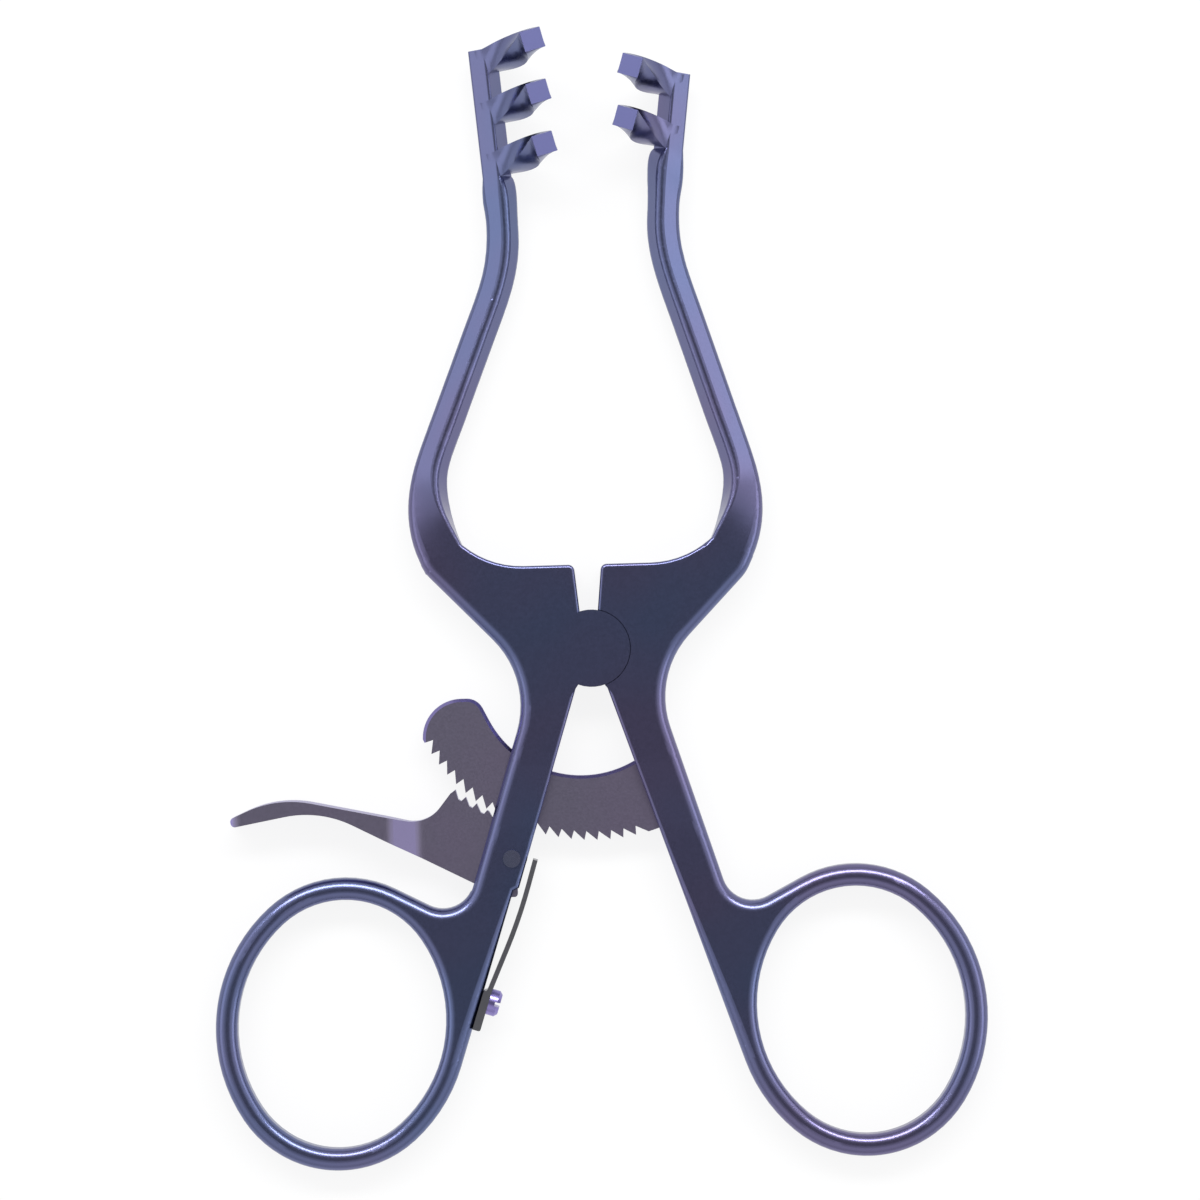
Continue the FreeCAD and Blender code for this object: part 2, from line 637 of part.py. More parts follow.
def arm_stations(side):
    """Points along the arm's middle line: (point, heading in degrees, share of the way to slim)."""
    lean = value("arm_lean_left") if side == LEFT else value("arm_lean_right")
    blade = value("blade_heading_left") if side == LEFT else value("blade_heading_right")
    run = value("arm_straight_left") if side == LEFT else value("arm_straight_right")
    straight = 90 + lean
    heading = value("arm_root_heading")
    spot = Vector(arm_root(side), value("arm_root_y"), 0)
    stations = [(spot - direction(heading) * value("arm_bury"), heading, 0), (spot, heading, 0)]
    centre = spot + left_of(direction(heading)) * value("shoulder_radius")
    steps = 6
    for step in range(1, steps + 1):
        share = step / steps
        turned = heading + share * (straight - heading)
        spot = centre - left_of(direction(turned)) * value("shoulder_radius")
        stations.append((spot, turned, share))
    steps = 5
    for step in range(1, steps + 1):
        stations.append((spot + direction(straight) * (run * step / steps), straight, 1))
    spot = stations[-1][0]
    centre = spot - left_of(direction(straight)) * value("upper_bend_radius")
    steps = 3
    for step in range(1, steps + 1):
        turned = straight + step / steps * (blade - straight)
        spot = centre + left_of(direction(turned)) * value("upper_bend_radius")
        stations.append((spot, turned, 1))
    return [(on_side(side, point), turn, share) for point, turn, share in stations]


def blade_line(side):
    """Start and direction of the blade's middle line."""
    point, heading, _ = arm_stations(side)[-1]
    return point, on_side(side, direction(heading))


def prong_roots(side):
    """Points on the blade's middle line from which the prongs rise."""
    start, along = blade_line(side)
    top = value("top_prong_left") if side == LEFT else value("top_prong_right")
    count = 3 if side == LEFT else 2
    highest = start + along * ((top - start.y) / along.y)
    return [highest - along * (value("prong_pitch") * index) for index in range(count)]


def turned_axes(side, along, degrees):
    """Outward and front axes of a section, turned about the bar so that its front leans outward."""
    outward = on_side(side, left_of(on_side(side, along))) * -1
    turn = math.radians(degrees)
    return (outward * math.cos(turn) - UP * math.sin(turn), UP * math.cos(turn) + outward * math.sin(turn))


def arm(side, name):
    """Arm from the box to the end of the blade, lofted as one bar."""
    half_way = Vector(0, 0, middle)
    sections = []
    for index, (point, heading, share) in enumerate(arm_stations(side)):
        along = on_side(side, direction(heading))
        ease = eased(share)
        outward, front = turned_axes(side, along, ease * value("arm_turn"))
        sections.append(bar_section(
            f"{name}_arm_{index}",
            axes_placement(point + half_way, outward, front),
            mix("arm_root_width", "arm_bar", ease) + " - 2 * Sizes.arm_inset",
            mix("branch_thickness", "arm_bar", ease) + " - 2 * Sizes.arm_inset",
            mix("bevel", "arm_bar_radius", ease),
            mix("inner_bevel", "arm_bar_radius", ease),
        ))
    blade_section, _ = blade(side, name)
    return lofted(name + "_arm", sections + [blade_section])


def blade(side, name):
    """Straight blade that carries the prongs, turned so that its face leans outward."""
    made = doc.getObject(name + "_blade")
    if made:
        return made.Base, made
    turn = value("blade_turn_left") if side == LEFT else value("blade_turn_right")
    _, along = blade_line(side)
    outward, front = turned_axes(side, along, turn)
    roots = prong_roots(side)
    foot = roots[-1] - along * (value("prong_root") / 2) + Vector(0, 0, middle)
    section = bar_section(
        f"{name}_blade_section", axes_placement(foot, outward, front),
        "Sizes.blade_width", "Sizes.blade_thickness", "Sizes.blade_radius", "Sizes.blade_radius",
    )
    bar = doc.addObject("Part::Extrusion", name + "_blade")
    bar.Base = section
    bar.DirMode = "Normal"
    bar.Solid = True
    bar.Reversed = side == RIGHT
    bind(bar, LengthFwd=f"{len(roots) - 1} * Sizes.prong_pitch + Sizes.prong_root")
    return section, bar


def prong(side, name, root):
    """Twisted square prong that leaves the blade's inner face and curves up to the front."""
    _, along = blade_line(side)
    lean = Rotation(UP, -side * value("prong_rake"))
    along = lean.multVec(along)
    inward = on_side(side, left_of(on_side(side, along)))
    start_angle = value("blade_turn_left") if side == LEFT else value("blade_turn_right")
    end_angle = value("prong_end_heading")
    radius = value("prong_bend_radius")

    def heading(angle):
        return inward * math.cos(math.radians(angle)) + UP * math.sin(math.radians(angle))

    def across(angle):
        return UP * math.cos(math.radians(angle)) - inward * math.sin(math.radians(angle))

    bend_start = root + UP * middle + heading(start_angle) * value("prong_lead")
    centre = bend_start + across(start_angle) * radius
    sections = []
    steps = 7
    for step in range(-1, steps + 1):
        share = max(0, step) / steps
        angle = start_angle + share * (end_angle - start_angle)
        point = root + UP * middle if step < 0 else centre - across(angle) * radius
        twist = Rotation(heading(angle), side * share * value("prong_twist"))
        girth = mix("prong_root", "prong_tip", share)
        placement = axes_placement(point, twist.multVec(along), twist.multVec(across(angle)))
        sections.append(square_section(f"{name}_{step + 1}", placement, girth))
    return lofted(name, sections)


def branch_blank(side, name):
    """A whole branch before its slots and holes are cut."""
    disc, recess = lap(side, name)
    plate = cut(name + "_hollowed", rounded_plate(side, name), [recess])
    prongs = [
        prong(side, f"{name}_prong_{index + 1}", root)
        for index, root in enumerate(prong_roots(side))
    ]
    _, blade_bar = blade(side, name)
    return fused(name + "_blank", [plate, disc, arm(side, name), blade_bar] + prongs)


def sector(inner, outer, start, end):
    """Outline of a ring sector round the hinge."""
    first, half_way, last = [direction(angle) for angle in (start, (start + end) / 2, end)]
    return [
        Part.LineSegment(first * inner, first * outer),
        Part.Arc(first * outer, half_way * outer, last * outer),
        Part.LineSegment(last * outer, last * inner),
        Part.Arc(last * inner, half_way * inner, first * inner),
    ]


# Angles round the hinge: the sheet holds them from straight down, to the right or to the left.
DOWN = -90.0
mid_slot = "Sizes.branch_thickness / 2 - Sizes.slot_thickness / 2"
mid_bar = "Sizes.branch_thickness / 2 - Sizes.bar_thickness / 2"


def teeth_outline():
    """Saw-tooth outline of the bar, grown by the clearance of the mesh and by its play."""
    count = int(value("gap_count"))
    pitch = value("tooth_pitch")
    draft = value("tooth_draft")
    tip = value("bar_tip_radius") + value("mesh_clearance")
    root = tip - value("tooth_depth")
    play = math.degrees(value("mesh_play") / tip)
    low = root + value("tooth_depth") * play / (pitch - draft)
    inner = root - 2 * value("tooth_depth")
    start = DOWN + value("first_tooth")
    points = []
    for tooth in range(count + 1):
        angle = start - tooth * pitch
        points.append(direction(angle + play + draft) * low)
        points.append(direction(angle + play) * tip)
        points.append(direction(angle) * tip)
    points.append(direction(start - count * pitch) * inner)
    points.append(direction(start - count * pitch / 2) * (inner / 2))
    points.append(direction(start + play + draft) * inner)
    return closed_outline([(point, 0) for point in points])


def bar_line(end):
    """One of the two straight inner edges of the bar: a point on it and its direction."""
    sideways = RIGHT if end == "right" else LEFT
    point = Vector(sideways * value(f"bar_{end}_x"), value(f"bar_{end}_y"), 0)
    return point, direction(value(f"bar_{end}_heading"))


def bar_reach():
    """Distance of the bar's straight right edge from the hinge, the nearest the bar comes to it."""
    point, along = bar_line("right")
    return abs(point.dot(left_of(along)))


def bar_blank():
    """The bar without its teeth: plan inside the circle of the tips, inner edges bevelled."""
    right_point, right_way = bar_line("right")
    left_point, left_way = bar_line("left")
    seat_end = direction(DOWN + value("bar_seat_angle"))
    cap_top = Vector(0, value("bar_cap_y"), 0)
    cap_side = -value("bar_cap_x")
    below = -2 * value("bar_tip_radius")
    plan = extruded("ratchet_plan", closed_outline([
        (crossing(right_point, right_way, Vector(), seat_end), 0),
        (crossing(right_point, right_way, left_point, left_way), value("bar_inner_radius")),
        (crossing(left_point, left_way, cap_top, Vector(1, 0, 0)), value("bar_cap_inner_radius")),
        (Vector(cap_side, value("bar_cap_y"), 0), value("bar_cap_outer_radius")),
        (Vector(cap_side, below, 0), 0),
        (seat_end * -below, 0),
    ]), mid_bar, "Sizes.bar_thickness")
    disc = cylinder("ratchet_disc", "Sizes.bar_tip_radius", mid_bar, "Sizes.bar_thickness")
    blank = doc.addObject("Part::MultiCommon", "ratchet_blank")
    blank.Shapes = [plan, disc]
    doc.recompute()

    chosen = []
    for number, edge in enumerate(blank.Shape.Edges, start=1):
        spot = edge.valueAt((edge.FirstParameter + edge.LastParameter) / 2)
        flat = Vector(spot.x, spot.y, 0)
        upright = abs(edge.tangentAt(edge.FirstParameter).z) > 0.5
        on_tips = flat.Length > value("bar_tip_radius") - TOUCHING
        on_seat_end = abs(flat.dot(left_of(seat_end))) < TOUCHING
        if not (upright or on_tips or on_seat_end):
            chosen.append((number, value("bar_bevel"), value("bar_bevel")))
    bevelled = doc.addObject("Part::Chamfer", "ratchet_bevelled")
    bevelled.Base = blank
    bevelled.Edges = chosen
    return bevelled


def ratchet_bar():
    """Curved bar round the hinge, toothed along the circle of its tips."""
    tip = value("bar_tip_radius")
    root = tip - value("tooth_depth")
    above = tip + value("tooth_depth")
    gaps = []
    for gap in range(int(value("gap_count"))):
        right = DOWN + value("first_tooth") - gap * value("tooth_pitch")
        left = right - value("tooth_pitch")
        corners = [direction(right) * tip, direction(left + value("tooth_draft")) * root,
                   direction(left) * tip, direction(left) * above, direction(right) * above]
        gaps.append(extruded(f"tooth_gap_{gap + 1}", closed_outline([(point, 0) for point in corners]),
                             mid_bar, "Sizes.bar_thickness"))
    bore = cylinder("bar_bore", "Sizes.bar_pin_radius", "0", "Sizes.branch_thickness", bar_pin_spot)
    return cut("ratchet_bar", bar_blank(), gaps + [bore])


def shank_slot():
    """Slot through the left shank for bar and pawl."""
    down = shank_direction()
    across = left_of(down) * (2 * value("slot_end"))
    outer_edge = on_side(LEFT, Vector(value("shank_x"), value("shank_y"), 0))
    offset = abs(outer_edge.dot(left_of(down)))
    top = down * (math.sqrt(bar_reach() ** 2 - offset ** 2) - value("slot_room"))
    bottom = down * value("slot_end")
    corners = [top - across, top + across, bottom + across, bottom - across]
    edges = closed_outline([(point, 0) for point in corners])
    return extruded("shank_slot", edges, mid_slot, "Sizes.slot_thickness")


def bar_seat():
    """Blind slot in the right shank that holds the end of the bar."""
    room = value("seat_clearance")
    edges = sector(bar_reach() - room, value("bar_tip_radius") + room,
                   DOWN, DOWN + value("bar_seat_angle") + room)
    return extruded("bar_seat", edges, mid_slot, "Sizes.slot_thickness")


bar_pin_spot = direction(DOWN + value("bar_pin_angle")) * value("bar_pin_distance")
bar_pin_end = "Sizes.branch_thickness / 2 + Sizes.slot_thickness / 2 + Sizes.bar_pin_hold"
pawl_spot = Vector(-value("pawl_pin_x"), value("pawl_pin_y"), 0)


def turned_tool(name, rings):
    """Solid of revolution about the hinge axis from (radius, height) expressions."""
    body = doc.addObject("PartDesign::Body", name)
    sketch = body.newObject("Sketcher::SketchObject", name + "_profile")
    plane = [item for item in body.Origin.OriginFeatures if item.Role == "XZ_Plane"][0]
    sketch.AttachmentSupport = (plane, "")
    sketch.MapMode = "FlatFace"
    numbers = [(float(sketch.evalExpression(r)), float(sketch.evalExpression(h))) for r, h in rings]
    count = len(rings)
    for index in range(count):
        here, there = numbers[index], numbers[(index + 1) % count]
        sketch.addGeometry(Part.LineSegment(Vector(*here, 0), Vector(*there, 0)), False)
    for index in range(count):
        sketch.addConstraint(Sketcher.Constraint("Coincident", index, 2, (index + 1) % count, 1))
    for index, (radius, height) in enumerate(rings):
        across = sketch.addConstraint(Sketcher.Constraint("DistanceX", -1, 1, index, 1, numbers[index][0]))
        sketch.setExpression(f"Constraints[{across}]", radius)
        up = sketch.addConstraint(Sketcher.Constraint("DistanceY", -1, 1, index, 1, numbers[index][1]))
        sketch.setExpression(f"Constraints[{up}]", height)
    turn = body.newObject("PartDesign::Revolution", name + "_turned")
    turn.Profile = sketch
    turn.ReferenceAxis = (sketch, ["V_Axis"])
    turn.Angle = 360
    return body


def rivet_rings(clearance):
    """Outline of the hinge rivet, grown by a clearance: countersunk head at the back, blind in front."""
    head = f"Sizes.rivet_head_radius + {clearance}"
    shank = f"Sizes.rivet_radius + {clearance}"
    depth = "Sizes.rivet_head_depth"
    top = "Sizes.branch_thickness - Sizes.rivet_cover"
    return [("0", "0"), (head, "0"), (shank, depth), (shank, top), ("0", top)]


def spring_frame():
    """Seat of the leaf spring: its upper end, the direction up the seat and the way out of it."""
    step = spring_step()[-1]
    touch = ring_point(inner_touch(on_side(LEFT, step)), value("ring_bar"))
    up = (step - on_side(LEFT, touch)).normalize()
    return step, up, left_of(up) * -1


def spring_point(along, out):
    """Point on the spring's seat: distance below the step, distance out of the seat."""
    step, up, outward = spring_frame()
    return step - up * along + outward * out


def leaf_spring():
    """Flat foot with a hole for the screw; the bowed leaf leaves it flush with its outer face."""
    foot_end = value("spring_foot_end")
    foot_top = foot_end - value("spring_foot_length")
    leaf_end = foot_top - value("spring_leaf_length")
    knee = foot_top - value("spring_knee")
    half = value("spring_leaf_thickness") / 2
    foot = value("spring_foot_thickness")
    bow = value("spring_bow")
    tip = value("spring_tip_bow")
    bend = value("spring_bend_radius")
    round_off = value("spring_corner_radius")
    corners = [
        (spring_point(foot_end, 0), 0),
        (spring_point(foot_end, foot), round_off),
        (spring_point(foot_top, foot), round_off),
        (spring_point(knee, bow + half), bend),
        (spring_point(leaf_end, tip + half), 0),
        (spring_point(leaf_end, tip - half), 0),
        (spring_point(knee, bow - half), bend),
        (spring_point(foot_top, foot - 2 * half), round_off),
        (spring_point(foot_top, 0), round_off),
    ]
    strip = extruded("spring_strip", closed_outline(corners),
                     "Sizes.branch_thickness / 2 - Sizes.spring_width / 2", "Sizes.spring_width")
    hole = screw_cylinder("spring_hole", "Sizes.screw_radius + Sizes.running_clearance", "-0.5", "3")
    return cut("leaf_spring", strip, [hole])


def screw_axes():
    """Foot and direction of the screw, square to the spring's seat."""
    _, up, outward = spring_frame()
    spot = spring_point(value("screw_place"), 0) + Vector(0, 0, middle)
    return spot, up, outward


def screw_cylinder(name, radius, start, length):
    """Cylinder along the screw's axis, measured from the seat."""
    spot, up, outward = screw_axes()
    rod = doc.addObject("Part::Cylinder", name)
    bind(rod, Radius=radius, Height=length)
    offset = float(rod.evalExpression(start))
    rod.Placement = Placement(spot + outward * offset, Rotation(UP, outward))
    return rod


def spring_screw():
    """Slotted screw through the spring's foot."""
    foot = "Sizes.spring_foot_thickness"
    shank = screw_cylinder("screw_shank", "Sizes.screw_radius", "-Sizes.screw_depth",
                           f"Sizes.screw_depth + {foot} + 0.1")
    head = screw_cylinder("screw_head", "Sizes.screw_head_radius", foot, "Sizes.screw_head_height")
    doc.recompute()
    spot, up, outward = screw_axes()
    rims = [(edge.CenterOfMass.dot(outward), number) for number, edge in enumerate(head.Shape.Edges, start=1)]
    dome = doc.addObject("Part::Chamfer", "screw_dome")
    dome.Base = head
    dome.Edges = [(max(rims)[1], value("screw_head_bevel"), value("screw_head_bevel"))]
    groove = doc.addObject("Part::Box", "screw_groove")
    bind(groove, Length="Sizes.screw_slot_width", Width="Sizes.screw_head_height",
         Height="4 * Sizes.screw_head_radius")
    depth = value("spring_foot_thickness") + value("screw_head_height") - value("screw_slot_depth")
    half_slot = value("screw_slot_width") / 2
    corner = spot + outward * depth - up * half_slot + UP * (2 * value("screw_head_radius"))
    groove.Placement = axes_placement(corner, up, outward)
    return cut("spring_screw", fused("screw_body", [shank, dome]), [groove])


def ratchet_pawl():
    """Toothed pawl and thumb lever in one piece."""
    def at(name, right=0, up=0):
        return Vector(right - value(name + "_x"), up + value(name + "_y"), 0)

    bow = value("lever_bow_radius")
    end_half = value("lever_end_thickness") / 2
    neck = 2 * value("pawl_pin_radius")
    pin_edge = value("pawl_pin_radius") + value("pawl_pin_wall")
    inside_teeth = value("bar_tip_radius") - 2 * value("tooth_depth")
    beyond = direction(value("pawl_end_heading")) * (2 * value("pawl_shoulder_radius"))
    plan = extruded("pawl_plan", closed_outline([
        (at("heel"), value("heel_radius")),
        (at("heel", 0, value("heel_face")), value("heel_face") / 2),
        (at("pawl_pin", pin_edge), neck / 2),
        (at("pawl_pin", 0, value("pawl_neck_length")), neck),
        (direction(DOWN - value("slot_end")) * inside_teeth, 0),
        (at("pawl_shoulder") + beyond, 0),
        (at("pawl_shoulder"), value("pawl_shoulder_radius")),
        (at("lever_neck"), value("lever_neck_radius")),
        (at("lever_crest"), bow),
        (at("lever_end", 0, end_half), end_half),
        (at("lever_end", 0.1, -end_half), end_half),
        (at("lever_under"), bow),
        (at("pawl_foot"), 2 * neck),
        (at("pawl_foot", neck, -neck / 2), neck / 2),
        (at("heel", -value("heel_width")), value("heel_radius")),
    ]), "Sizes.branch_thickness / 2 - Sizes.lever_width / 2", "Sizes.lever_width")
    thin = value("bar_thickness") / 2
    wide = value("lever_width") / 2
    narrow_at = -value("lever_flare_start")
    wide_at = -value("lever_flare_end")
    end = -value("lever_end_x") - 1
    bend = value("lever_flare_radius")
    tip = value("lever_end_radius")
    side_view = [
        (end, -wide, tip), (wide_at, -wide, bend), (narrow_at, -thin, bend), (0, -thin, 0),
        (0, thin, 0), (narrow_at, thin, bend), (wide_at, wide, bend), (end, wide, tip),
    ]
    edges = closed_outline([(Vector(x, z, 0), radius) for x, z, radius in side_view])
    upright = axes_placement(Vector(0, 0, middle), Vector(1, 0, 0), UP)
    envelope = extruded("pawl_envelope", edges, "0", "4 * Sizes.bar_tip_radius", upright)
    shaped = doc.addObject("Part::MultiCommon", "pawl_shaped")
    shaped.Shapes = [plan, envelope]

    turn = Rotation(UP, value("mesh_turn"))
    held = Placement(pawl_spot - turn.multVec(pawl_spot), turn)
    teeth = extruded("pawl_mesh", teeth_outline(), mid_bar, "Sizes.bar_thickness", held)
    relief = cylinder("pawl_relief", "Sizes.bar_tip_radius - Sizes.pawl_tooth_depth", "0",
                      "Sizes.branch_thickness", held.Base)
    rest_relief = cylinder("pawl_rest_relief", "Sizes.bar_tip_radius + Sizes.rest_clearance", "0",
                           "Sizes.branch_thickness")
    bore = cylinder("pawl_bore", "Sizes.pawl_pin_radius + Sizes.running_clearance", "0",
                    "Sizes.branch_thickness", pawl_spot)
    return cut("ratchet_pawl", shaped, [teeth, relief, rest_relief, bore])


# The nine pieces

left_blank = branch_blank(LEFT, "left")
right_blank = branch_blank(RIGHT, "right")
rivet_hole = turned_tool("rivet_hole", rivet_rings("0"))
rivet_clear_hole = turned_tool("rivet_clear_hole", rivet_rings("Sizes.running_clearance"))
pawl_hole = cylinder("pawl_hole", "Sizes.pawl_pin_radius", "0", "Sizes.branch_thickness", pawl_spot)
screw_hole = screw_cylinder("screw_hole", "Sizes.screw_radius", "-Sizes.screw_depth", "Sizes.screw_depth + 1")
bar_pin_hole = cylinder("bar_pin_hole", "Sizes.bar_pin_radius", "0", bar_pin_end, bar_pin_spot)
left_branch = cut("left_branch", left_blank, [shank_slot(), rivet_hole, pawl_hole, screw_hole])
right_branch = cut("right_branch", right_blank, [bar_seat(), rivet_clear_hole, bar_pin_hole])
hinge_rivet = turned_tool("hinge_rivet", rivet_rings("0"))
bar = ratchet_bar()
bar_pin = cylinder("ratchet_bar_pin", "Sizes.bar_pin_radius", "Sizes.bar_pin_recess",
                   bar_pin_end + " - Sizes.bar_pin_recess", bar_pin_spot)
pawl = ratchet_pawl()
pawl_pin = cylinder("pawl_pin", "Sizes.pawl_pin_radius", "Sizes.pawl_pin_recess",
                    "Sizes.branch_thickness - 2 * Sizes.pawl_pin_recess", pawl_spot)
pieces = [left_branch, right_branch, hinge_rivet, bar, bar_pin, pawl, pawl_pin, leaf_spring(), spring_screw()]
doc.recompute()

for thing in doc.Objects:
    if "Invalid" in thing.State or "Error" in thing.State:
        raise RuntimeError(f"{thing.Name}: {thing.State}")
os.makedirs("parts", exist_ok=True)
for piece in pieces:
    piece.Label = piece.Name
    if piece.Shape.isNull() or not piece.Shape.isValid():
        raise RuntimeError(f"{piece.Name} has no valid shape")
    print(piece.Label, len(piece.Shape.Solids), round(piece.Shape.Volume, 2))
for piece in pieces:
    piece.Shape.exportStep(f"parts/{piece.Label}.step")
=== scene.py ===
import math

import bpy
from mathutils import Euler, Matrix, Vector


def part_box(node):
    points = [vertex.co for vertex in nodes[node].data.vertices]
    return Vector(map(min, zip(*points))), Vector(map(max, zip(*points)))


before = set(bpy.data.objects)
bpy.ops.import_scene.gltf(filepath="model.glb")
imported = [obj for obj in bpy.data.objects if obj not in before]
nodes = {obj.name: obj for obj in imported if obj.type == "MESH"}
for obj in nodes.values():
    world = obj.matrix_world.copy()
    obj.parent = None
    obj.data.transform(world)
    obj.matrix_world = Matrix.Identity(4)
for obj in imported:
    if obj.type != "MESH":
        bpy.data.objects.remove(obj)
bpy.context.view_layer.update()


# The retractor lies on its back and is seen from straight above. The camera is half a metre
# away and turned a little, so that the hinge leans as it does in the picture.
picture_side = 0.1362  # what the square picture spans at the measured height
picture_centre = Vector((0.00112, 0.00542, 0))
picture_lean = math.radians(-1.6)
measured_height = 0.0023  # half the thickness at the hinge
camera_distance = 0.5
sensor_width = 36

camera_data = bpy.data.cameras.new("camera")
camera_data.sensor_width = sensor_width
camera_data.lens = sensor_width * camera_distance / picture_side
camera_data.clip_start = 0.01
camera = bpy.data.objects.new("camera", camera_data)
bpy.context.scene.collection.objects.link(camera)
camera.location = picture_centre + Vector((0, 0, camera_distance + measured_height))
camera.rotation_euler = Euler((0, 0, picture_lean))
bpy.context.scene.camera = camera
bpy.context.scene.view_settings.view_transform = "Standard"


# Light: a soft tent, bright all round and dim overhead, so that flat faces stay dark and every
# rounded edge catches the light. Two softboxes stand at the sides. A strip light beyond the
# prongs draws the thin bright line along the edges that face it.
pure_white = (1, 1, 1, 1)
tent_brightness = [  # by the height of the direction: 0 is level, 1 is straight up
    (0.0, 0.70), (0.35, 0.74), (0.62, 0.92),
    (0.80, 0.88), (0.90, 0.70),
    (0.965, 0.29), (1.0, 0.175),
]
lamps = {  # metres, degrees, metres and watts
    "left_softbox": {"place": (-0.55, 0.10, 0.28), "tilt": (0, -63, 0), "sides": (0.25, 0.70), "power": 0.4},
    "right_softbox": {"place": (0.60, 0.05, 0.30), "tilt": (0, 63, 0), "sides": (0.25, 0.70), "power": 0.7},
    "strip_light": {"place": (0.0, 0.46, 0.54), "tilt": (-40, 0, 0), "sides": (1.00, 0.17), "power": 5.5},
}


def add(tree, kind, sockets=None, stops=(), **settings):
    """Add a node with its settings, the stops of its colour ramp, and a value or link per socket."""
    made = tree.nodes.new(kind)
    for name, setting in settings.items():
        setattr(made, name, setting)
    if stops:
        steps = made.color_ramp.elements
        while len(steps) < len(stops):
            steps.new(0.5)
        for step, (position, shade) in zip(steps, stops):
            step.position = position
            step.color = shade
    for name, source in (sockets or {}).items():
        if isinstance(source, bpy.types.NodeSocket):
            tree.links.new(source, made.inputs[name])
        else:
            made.inputs[name].default_value = source
    return made


world = bpy.data.worlds.new("light_tent")
world.use_nodes = True
bpy.context.scene.world = world
tree = world.node_tree
tree.nodes.clear()
direction = add(tree, "ShaderNodeTexCoord").outputs["Generated"]
height = add(tree, "ShaderNodeSeparateXYZ", {"Vector": direction}).outputs["Z"]
tent = add(tree, "ShaderNodeValToRGB", {"Fac": height},
           stops=[(level, (bright, bright, bright, 1)) for level, bright in tent_brightness])
light = add(tree, "ShaderNodeBackground", {"Color": tent.outputs["Color"], "Strength": 1.0}).outputs[0]
plain = add(tree, "ShaderNodeBackground", {"Color": pure_white, "Strength": 1.0}).outputs[0]
seen = add(tree, "ShaderNodeLightPath").outputs["Is Camera Ray"]
shown = add(tree, "ShaderNodeMixShader", {0: seen, 1: light, 2: plain}).outputs[0]
add(tree, "ShaderNodeOutputWorld", {"Surface": shown})

for name, lamp in lamps.items():
    lamp_data = bpy.data.lights.new(name, "AREA")
    lamp_data.shape = "RECTANGLE"
    lamp_data.size, lamp_data.size_y = lamp["sides"]
    lamp_data.energy = lamp["power"]
    lamp_object = bpy.data.objects.new(name, lamp_data)
    bpy.context.scene.collection.objects.link(lamp_object)
    lamp_object.location = lamp["place"]
    lamp_object.rotation_euler = Euler([math.radians(angle) for angle in lamp["tilt"]])


# Table: a plain white board just under the retractor. To the eye and in reflections most of it
# is pure white, and the rest is matt paint that keeps the shadow.
table_side = 3
table_drop = 0.0002
white_share = 0.86


def colour(code):
    """Linear colour of an sRGB hex code."""
    parts = [int(code[place:place + 2], 16) / 255 for place in (1, 3, 5)]
    return [part / 12.92 if part <= 0.04045 else ((part + 0.055) / 1.055) ** 2.4 for part in parts] + [1]


bpy.ops.object.select_all(action="DESELECT")
bpy.ops.mesh.primitive_plane_add(size=table_side, location=(0, 0, -table_drop))
table = bpy.context.object
table.name = "table"
table_white = bpy.data.materials.new("white_table")
table_white.use_nodes = True
tree = table_white.node_tree
tree.nodes.clear()
paint = add(tree, "ShaderNodeBsdfDiffuse", {"Color": colour("#E8E8EA")}).outputs[0]
bright = add(tree, "ShaderNodeEmission", {"Color": pure_white, "Strength": 1.0}).outputs[0]
rays = add(tree, "ShaderNodeLightPath").outputs
watched = add(tree, "ShaderNodeMath", {0: rays["Is Camera Ray"], 1: rays["Is Glossy Ray"]},
              operation="MAXIMUM").outputs[0]
watched = add(tree, "ShaderNodeMath", {0: watched, 1: rays["Is Transmission Ray"]},
              operation="MAXIMUM").outputs[0]
share = add(tree, "ShaderNodeMath", {0: watched, 1: white_share}, operation="MULTIPLY").outputs[0]
board = add(tree, "ShaderNodeMixShader", {0: share, 1: paint, 2: bright}).outputs[0]
add(tree, "ShaderNodeOutputMaterial", {"Surface": board})
table.data.materials.append(table_white)


# The two branches are forged titanium, blasted with fine glass beads and then anodised to a
# blue-violet that varies a little; the blasting softens every highlight. The prongs' tips are
# matt, with a painted highlight of lighter colour in place of real end faces that lean to the light.
shorter_prong = min(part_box(branch)[1].z for branch in ("left_branch", "right_branch"))
tip_start = shorter_prong - 0.0006
tip_end = shorter_prong - 0.0001
tip_roughness = 0.6
flat_facing = 0.99  # upward part of a face's direction: flat within 8 degrees
full_sheen_facing = 0.86  # and sloping by 31 degrees, where the painted sheen is at its full
film_low, film_high = 0.35, 0.65  # most of the drift lies between these
grain_low, grain_high = 0.3, 0.7  # and most of the grain between these
smoother, rougher = 0.015, 0.02  # how far the grain moves the roughness
grain_height = 0.00003
grain_strength = 0.03


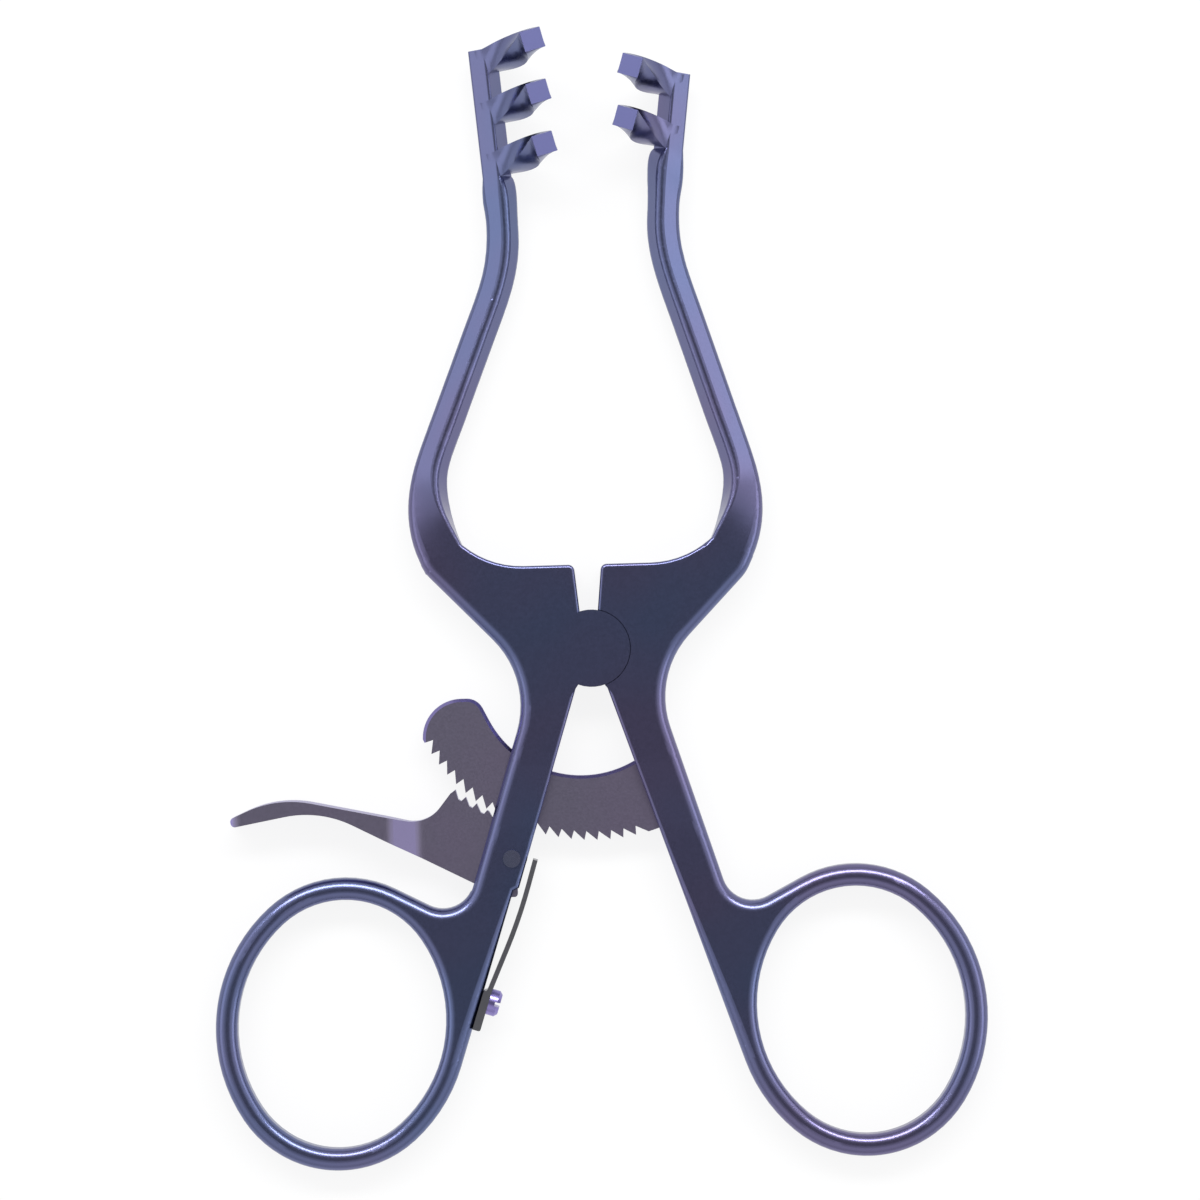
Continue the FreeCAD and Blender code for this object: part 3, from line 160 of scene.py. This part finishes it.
def anodised(name, blue, violet, roughness, grain_mm, drift_mm, painted_slope_sheen=None, painted_tip_highlight=None):
    """Blasted and anodised titanium: a metal whose film drifts between two colours.

    Faces that slope take a clearer colour, a painted sheen, and the prongs' tips a lighter
    colour, a painted highlight. Real blasting leaves a grain of about 0.05 mm, too fine to
    show, so it is drawn coarser.
    """
    made = bpy.data.materials.new(name)
    made.use_nodes = True
    tree = made.node_tree
    tree.nodes.clear()
    coordinates = add(tree, "ShaderNodeTexCoord").outputs
    drift = add(tree, "ShaderNodeTexNoise", {"Vector": coordinates["Object"], "Scale": 1000 / drift_mm,
                                             "Detail": 2.0, "Roughness": 0.5}).outputs["Fac"]
    film = add(tree, "ShaderNodeValToRGB", {"Fac": drift},
               stops=[(film_low, colour(blue)), (film_high, colour(violet))]).outputs["Color"]
    grain = add(tree, "ShaderNodeTexNoise", {"Vector": coordinates["Object"], "Scale": 1000 / grain_mm,
                                             "Detail": 1.0, "Roughness": 0.6}).outputs["Fac"]
    spread = add(tree, "ShaderNodeMapRange", {"Value": grain, "From Min": grain_low,
                                              "From Max": grain_high,
                                              "To Min": roughness - smoother,
                                              "To Max": roughness + rougher}).outputs["Result"]
    # Painted sheen: faces that slope get a clearer violet colour.
    if painted_slope_sheen:
        facing = add(tree, "ShaderNodeSeparateXYZ", {"Vector": coordinates["Normal"]}).outputs["Z"]
        painted_sheen_mask = add(tree, "ShaderNodeMapRange", {"Value": facing, "From Min": flat_facing,
                                                 "From Max": full_sheen_facing}).outputs["Result"]
        film = add(tree, "ShaderNodeMix", {"Factor": painted_sheen_mask, 6: film, 7: colour(painted_slope_sheen)},
                   data_type="RGBA").outputs[2]
    # Painted highlight: the prongs' tips get a lighter colour, and a matt roughness.
    if painted_tip_highlight:
        level = add(tree, "ShaderNodeSeparateXYZ", {"Vector": coordinates["Object"]}).outputs["Z"]
        matt_tip_highlight_mask = add(tree, "ShaderNodeMapRange", {"Value": level, "From Min": tip_start,
                                               "From Max": tip_end}).outputs["Result"]
        film = add(tree, "ShaderNodeMix", {"Factor": matt_tip_highlight_mask, 6: film, 7: colour(painted_tip_highlight)},
                   data_type="RGBA").outputs[2]
        spread = add(tree, "ShaderNodeMapRange", {"Value": matt_tip_highlight_mask, "To Min": spread,
                                                  "To Max": tip_roughness}).outputs["Result"]
    relief = add(tree, "ShaderNodeBump", {"Height": grain, "Strength": grain_strength,
                                          "Distance": grain_height}).outputs["Normal"]
    metal = add(tree, "ShaderNodeBsdfPrincipled", {"Base Color": film, "Metallic": 1.0,
                                                   "Roughness": spread, "Normal": relief}).outputs[0]
    add(tree, "ShaderNodeOutputMaterial", {"Surface": metal})
    return made


def finish_node(name, material):
    """Give a CAD node its material."""
    piece = nodes[name]
    piece.data.materials.clear()
    piece.data.materials.append(material)


branch_titanium = anodised("anodised_titanium_blue_violet", "#616B91", "#6D688C", roughness=0.25,
                           grain_mm=0.25, drift_mm=22, painted_tip_highlight="#666894")
finish_node("left_branch", branch_titanium)
finish_node("right_branch", branch_titanium)


# The hinge rivet, the ratchet bar's pin and the pawl's pin are turned from titanium wire and
# ground flush with the branches before the anodising, so they show as slightly greyer discs.
pin_titanium = anodised("anodised_titanium_pin", "#747A96", "#787894", roughness=0.27,
                        grain_mm=0.2, drift_mm=8)
for name in ("hinge_rivet", "ratchet_bar_pin", "pawl_pin"):
    finish_node(name, pin_titanium)


# The ratchet bar and the pawl with its lever are cut from titanium sheet and anodised
# grey-violet. Faces that slope, at the edges and the lever's twist, get a clearer violet: a painted sheen.
ratchet_titanium = anodised("anodised_titanium_grey_violet", "#8E88A0", "#9288A4", roughness=0.30,
                            grain_mm=0.25, drift_mm=14, painted_slope_sheen="#8078AC")
finish_node("ratchet_bar", ratchet_titanium)
finish_node("ratchet_pawl", ratchet_titanium)


# The leaf spring is a bent strip of hardened steel with a dark, slightly uneven temper film.
# The same nodes as the anodised film's draw it, in two greys.
spring_steel = anodised("tempered_spring_steel", "#84848A", "#7E7E86", roughness=0.30,
                        grain_mm=0.2, drift_mm=6)
finish_node("leaf_spring", spring_steel)


# The slotted screw that holds the spring's foot is turned from titanium and anodised in a
# brighter violet than the branches.
screw_titanium = anodised("anodised_titanium_violet", "#8A80BC", "#9488C4", roughness=0.26,
                          grain_mm=0.2, drift_mm=5)
finish_node("spring_screw", screw_titanium)
